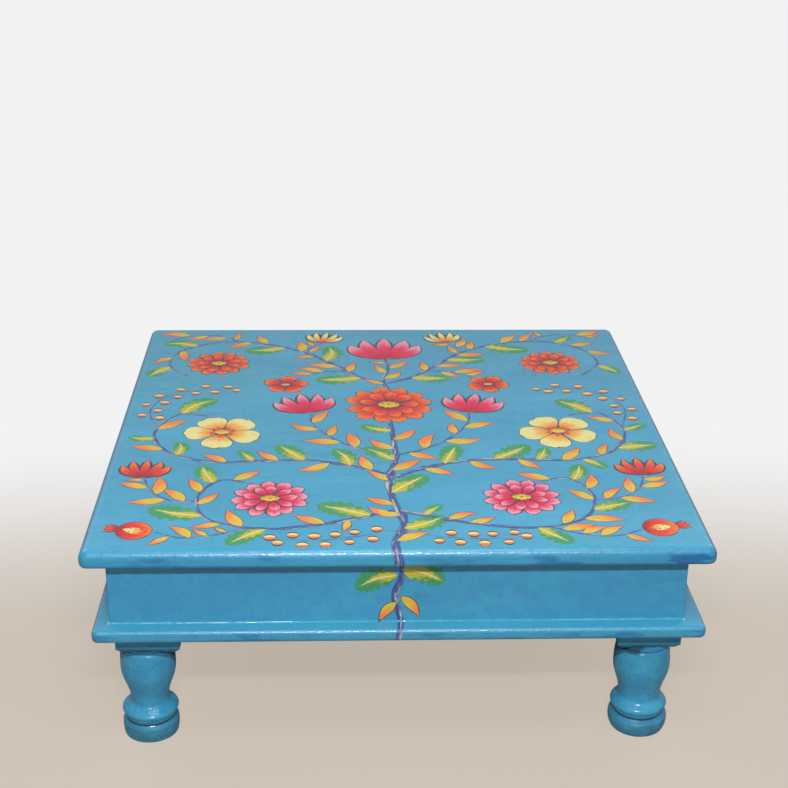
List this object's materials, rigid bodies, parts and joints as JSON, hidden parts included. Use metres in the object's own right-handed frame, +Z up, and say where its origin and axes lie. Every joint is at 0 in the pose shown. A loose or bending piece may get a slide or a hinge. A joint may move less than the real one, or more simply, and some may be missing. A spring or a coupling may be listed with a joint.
{
  "type": "bajot low table",
  "caption": "Low square wooden table with a rounded overhanging top, box apron, lower moulding, square pads and short turned legs, painted blue.",
  "frame": {"origin": "on the floor under the middle of the table", "axes": "+Z up, -Y to the front, +X to the right as seen from the front"},
  "size_m": [0.61, 0.61, 0.234],
  "materials": {
    "painted_top": "hand-brushed blue paint with flower decoration under gloss varnish",
    "painted_apron": "hand-brushed blue paint under gloss varnish",
    "painted_moulding": "hand-brushed blue paint under gloss varnish",
    "painted_legs": "hand-brushed blue paint under gloss varnish, on turned wood",
    "bare_wood": "planed, unfinished",
    "steel": "plain zinc-plated"
  },
  "bodies": {
    "root": {"apron_back": "painted_apron", "apron_front": "painted_apron", "apron_left": "painted_apron", "apron_pins": "steel", "apron_right": "painted_apron", "batten_left": "bare_wood", "batten_right": "bare_wood", "batten_screws": "steel", "corner_block_back_left": "bare_wood", "corner_block_back_right": "bare_wood", "corner_block_front_left": "bare_wood", "corner_block_front_right": "bare_wood", "corner_block_screws": "steel", "leg_back_left": "painted_legs", "leg_back_right": "painted_legs", "leg_front_left": "painted_legs", "leg_front_right": "painted_legs", "leg_wedges": "bare_wood", "mitre_splines": "bare_wood", "moulding_back": "painted_moulding", "moulding_front": "painted_moulding", "moulding_left": "painted_moulding", "moulding_right": "painted_moulding", "moulding_screws": "steel", "pad_back_left": "painted_legs", "pad_back_right": "painted_legs", "pad_front_left": "painted_legs", "pad_front_right": "painted_legs", "pad_screws": "steel", "top_dowels": "bare_wood", "top_plank_1": "painted_top", "top_plank_2": "painted_top", "top_plank_3": "painted_top", "top_plank_4": "painted_top"}
  },
  "joints": []
}
